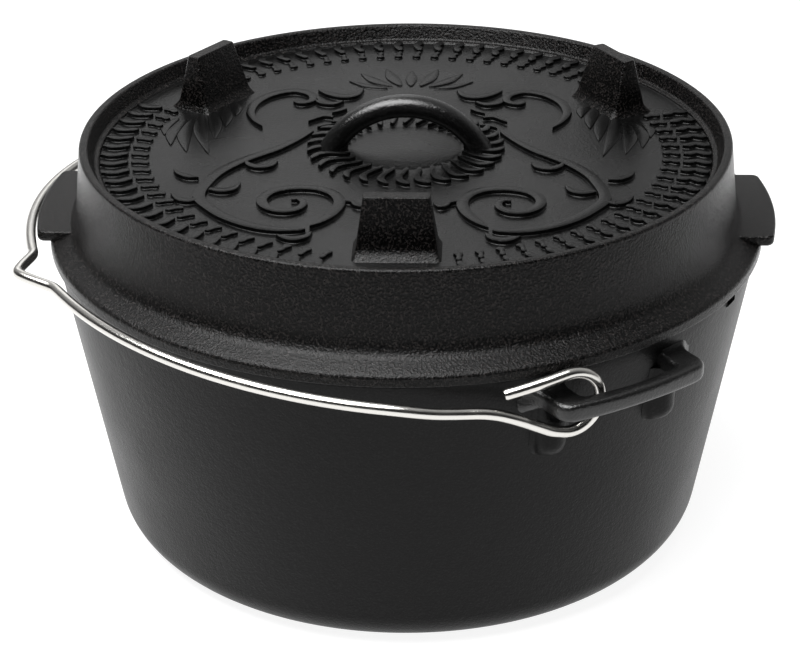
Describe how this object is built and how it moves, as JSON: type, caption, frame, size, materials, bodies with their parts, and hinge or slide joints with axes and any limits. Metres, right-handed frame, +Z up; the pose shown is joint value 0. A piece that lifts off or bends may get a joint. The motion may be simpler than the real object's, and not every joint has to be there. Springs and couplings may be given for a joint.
{
  "type": "dutch oven",
  "caption": "Flat-bottomed cast iron camp oven with a footed, high-rimmed lid, an arched lid handle, cast lugs and a swinging wire bail.",
  "frame": {"origin": "centre of the pot's flat bottom", "axes": "+Z up, +X out through the lug beside the bail's lower eye; the stored bail lies towards -Y"},
  "size_m": [0.3506, 0.3383, 0.2016],
  "materials": {
    "pot_iron": "pre-seasoned sand casting, near black, satin",
    "lid_iron": "pre-seasoned sand casting, near black, open grain",
    "bail_steel": "drawn stainless wire, satin"
  },
  "bodies": {
    "pot": {"pot": "pot_iron"},
    "lid": {"lid": "lid_iron"},
    "bail": {"bail": "bail_steel"}
  },
  "joints": [
    {"name": "lid_lift", "type": "slide", "parent": "pot", "child": "lid", "axis": [0, 0, 1], "range_m": [0, 0.12]},
    {"name": "bail_swing", "type": "hinge", "parent": "pot", "child": "bail", "pos_m": [0, 0, 0.13083], "axis": [-0.9832, 0.1822, 0.0087], "range_deg": [0, 165]}
  ]
}
